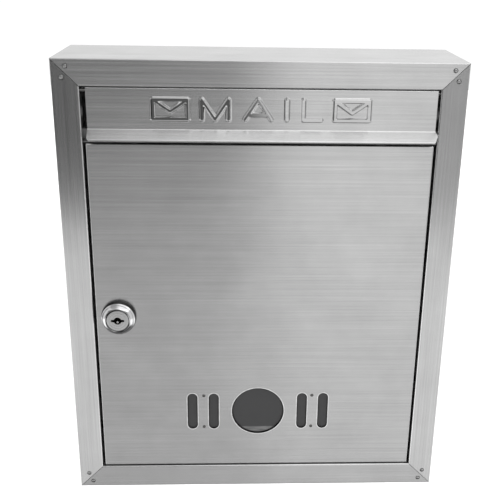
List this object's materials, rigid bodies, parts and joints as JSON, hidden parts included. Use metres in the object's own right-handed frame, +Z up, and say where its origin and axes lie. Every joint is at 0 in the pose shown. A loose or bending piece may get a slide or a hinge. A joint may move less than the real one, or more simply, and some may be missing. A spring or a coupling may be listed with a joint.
{
  "type": "wall mounted mailbox",
  "caption": "Shallow upright wall letter box of folded stainless sheet, with a lift-up flap, a side-hinged door, a cam lock and a viewing window.",
  "frame": {"origin": "centre of the back panel's face, which rests on the wall", "axes": "+Y into the wall, +Z up, +X to the right seen from the front"},
  "size_m": [0.25, 0.071, 0.3],
  "materials": {
    "brushed_steel": "brushed stainless sheet, grain along each piece",
    "chrome_plate": "polished chrome plate",
    "zinc_steel": "dull zinc plated steel",
    "smoked_acrylic": "smoked clear acrylic sheet"
  },
  "bodies": {
    "case": {"frame_top": "brushed_steel", "frame_right": "brushed_steel", "frame_bottom": "brushed_steel", "frame_left": "brushed_steel", "gusset_top_left": "brushed_steel", "gusset_top_right": "brushed_steel", "gusset_bottom_left": "brushed_steel", "gusset_bottom_right": "brushed_steel", "corner_rivet_top_left_level": "zinc_steel", "corner_rivet_top_left_upright": "zinc_steel", "corner_rivet_top_right_level": "zinc_steel", "corner_rivet_top_right_upright": "zinc_steel", "corner_rivet_bottom_left_level": "zinc_steel", "corner_rivet_bottom_left_upright": "zinc_steel", "corner_rivet_bottom_right_level": "zinc_steel", "corner_rivet_bottom_right_upright": "zinc_steel", "back_tray": "brushed_steel", "slot_sill": "brushed_steel", "door_stop_upper": "brushed_steel", "door_stop_lower": "brushed_steel", "door_pin_top": "zinc_steel", "door_pin_bottom": "zinc_steel", "flap_rod": "zinc_steel"},
    "door": {"door_panel": "brushed_steel", "window_pane": "smoked_acrylic", "pane_rivet_1": "zinc_steel", "pane_rivet_2": "zinc_steel", "pane_rivet_3": "zinc_steel", "pane_rivet_4": "zinc_steel", "lock_housing": "chrome_plate", "lock_washer": "zinc_steel", "lock_nut": "zinc_steel"},
    "flap": {"flap_panel": "brushed_steel"},
    "lock_core": {"lock_plug": "chrome_plate", "lock_cam": "zinc_steel", "cam_screw": "zinc_steel"}
  },
  "joints": [
    {"name": "door_hinge", "type": "hinge", "parent": "case", "child": "door", "pos_m": [0.1004, -0.0604, 0], "axis": [0, 0, 1], "range_deg": [0, 110]},
    {"name": "flap_hinge", "type": "hinge", "parent": "case", "child": "flap", "pos_m": [0, -0.062, 0.131], "axis": [-1, 0, 0], "range_deg": [0, 80]},
    {"name": "lock_turn", "type": "hinge", "parent": "door", "child": "lock_core", "pos_m": [-0.0922, -0.065, -0.0176], "axis": [0, 1, 0], "range_deg": [0, 90]}
  ]
}
